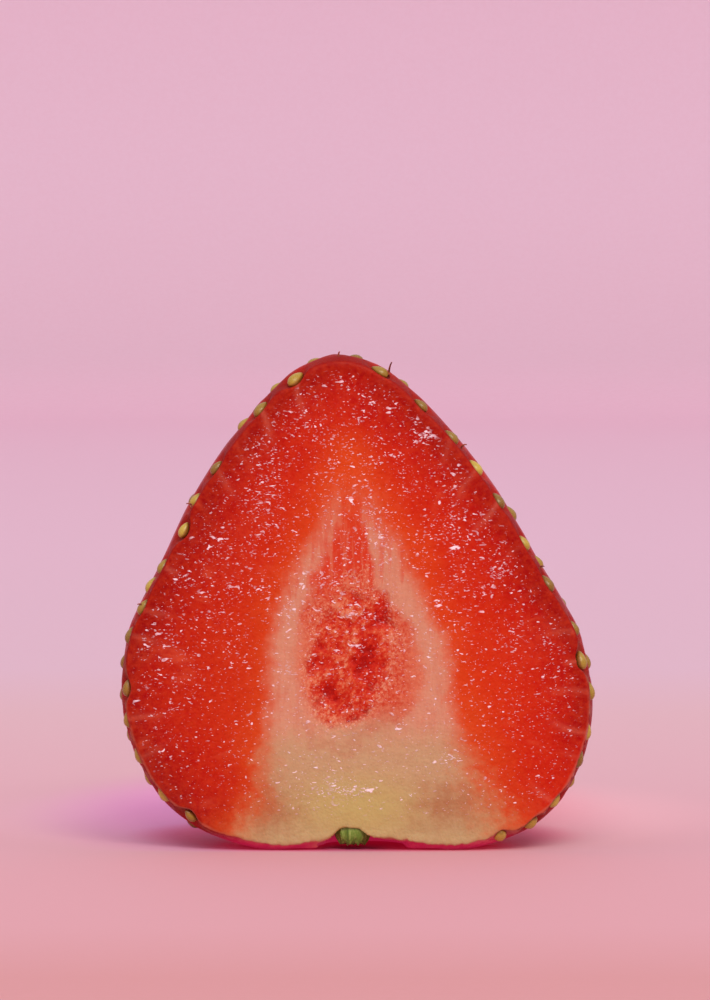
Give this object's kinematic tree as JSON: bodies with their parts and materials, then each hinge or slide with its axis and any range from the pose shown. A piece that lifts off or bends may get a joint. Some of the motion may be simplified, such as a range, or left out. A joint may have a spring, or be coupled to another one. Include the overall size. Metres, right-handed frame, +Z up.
{
  "type": "half strawberry",
  "caption": "Half of a fresh strawberry, cut lengthways and stood on its shoulders with the tip up, with a stub of stalk and achenes on its skin.",
  "frame": {"origin": "on the surface it rests on, under the middle of the part's bounding box", "axes": "+Z up along the fruit's axis, from the stalk end to the tip; the cut face looks along -Y and the round skin along +Y; +X is to the right of a viewer who faces the cut"},
  "size_m": [0.0382, 0.0218, 0.0398],
  "materials": {
    "flesh": "wet, glossy",
    "stalk": "fibrous",
    "achene": "smooth, slightly glossy"
  },
  "bodies": {
    "root": {"flesh": "flesh", "stem_stub": "stalk", "achene_01": "achene", "achene_02": "achene", "achene_03": "achene", "achene_04": "achene", "achene_05": "achene", "achene_06": "achene", "achene_07": "achene", "achene_08": "achene", "achene_09": "achene", "achene_10": "achene", "achene_11": "achene", "achene_12": "achene", "achene_13": "achene", "achene_14": "achene", "achene_15": "achene", "achene_16": "achene", "achene_17": "achene", "achene_18": "achene", "achene_19": "achene", "achene_20": "achene", "achene_21": "achene", "achene_22": "achene", "achene_23": "achene", "achene_24": "achene", "achene_25": "achene", "achene_26": "achene", "achene_27": "achene", "achene_28": "achene", "achene_29": "achene", "achene_30": "achene", "achene_31": "achene", "achene_32": "achene", "achene_33": "achene", "achene_34": "achene", "achene_35": "achene", "achene_36": "achene", "achene_37": "achene", "achene_38": "achene", "achene_39": "achene", "achene_40": "achene", "achene_41": "achene", "achene_42": "achene", "achene_43": "achene", "achene_44": "achene", "achene_45": "achene", "achene_46": "achene", "achene_47": "achene", "achene_48": "achene", "achene_49": "achene", "achene_50": "achene", "achene_51": "achene", "achene_52": "achene", "achene_53": "achene", "achene_54": "achene", "achene_55": "achene", "achene_56": "achene"}
  },
  "joints": []
}
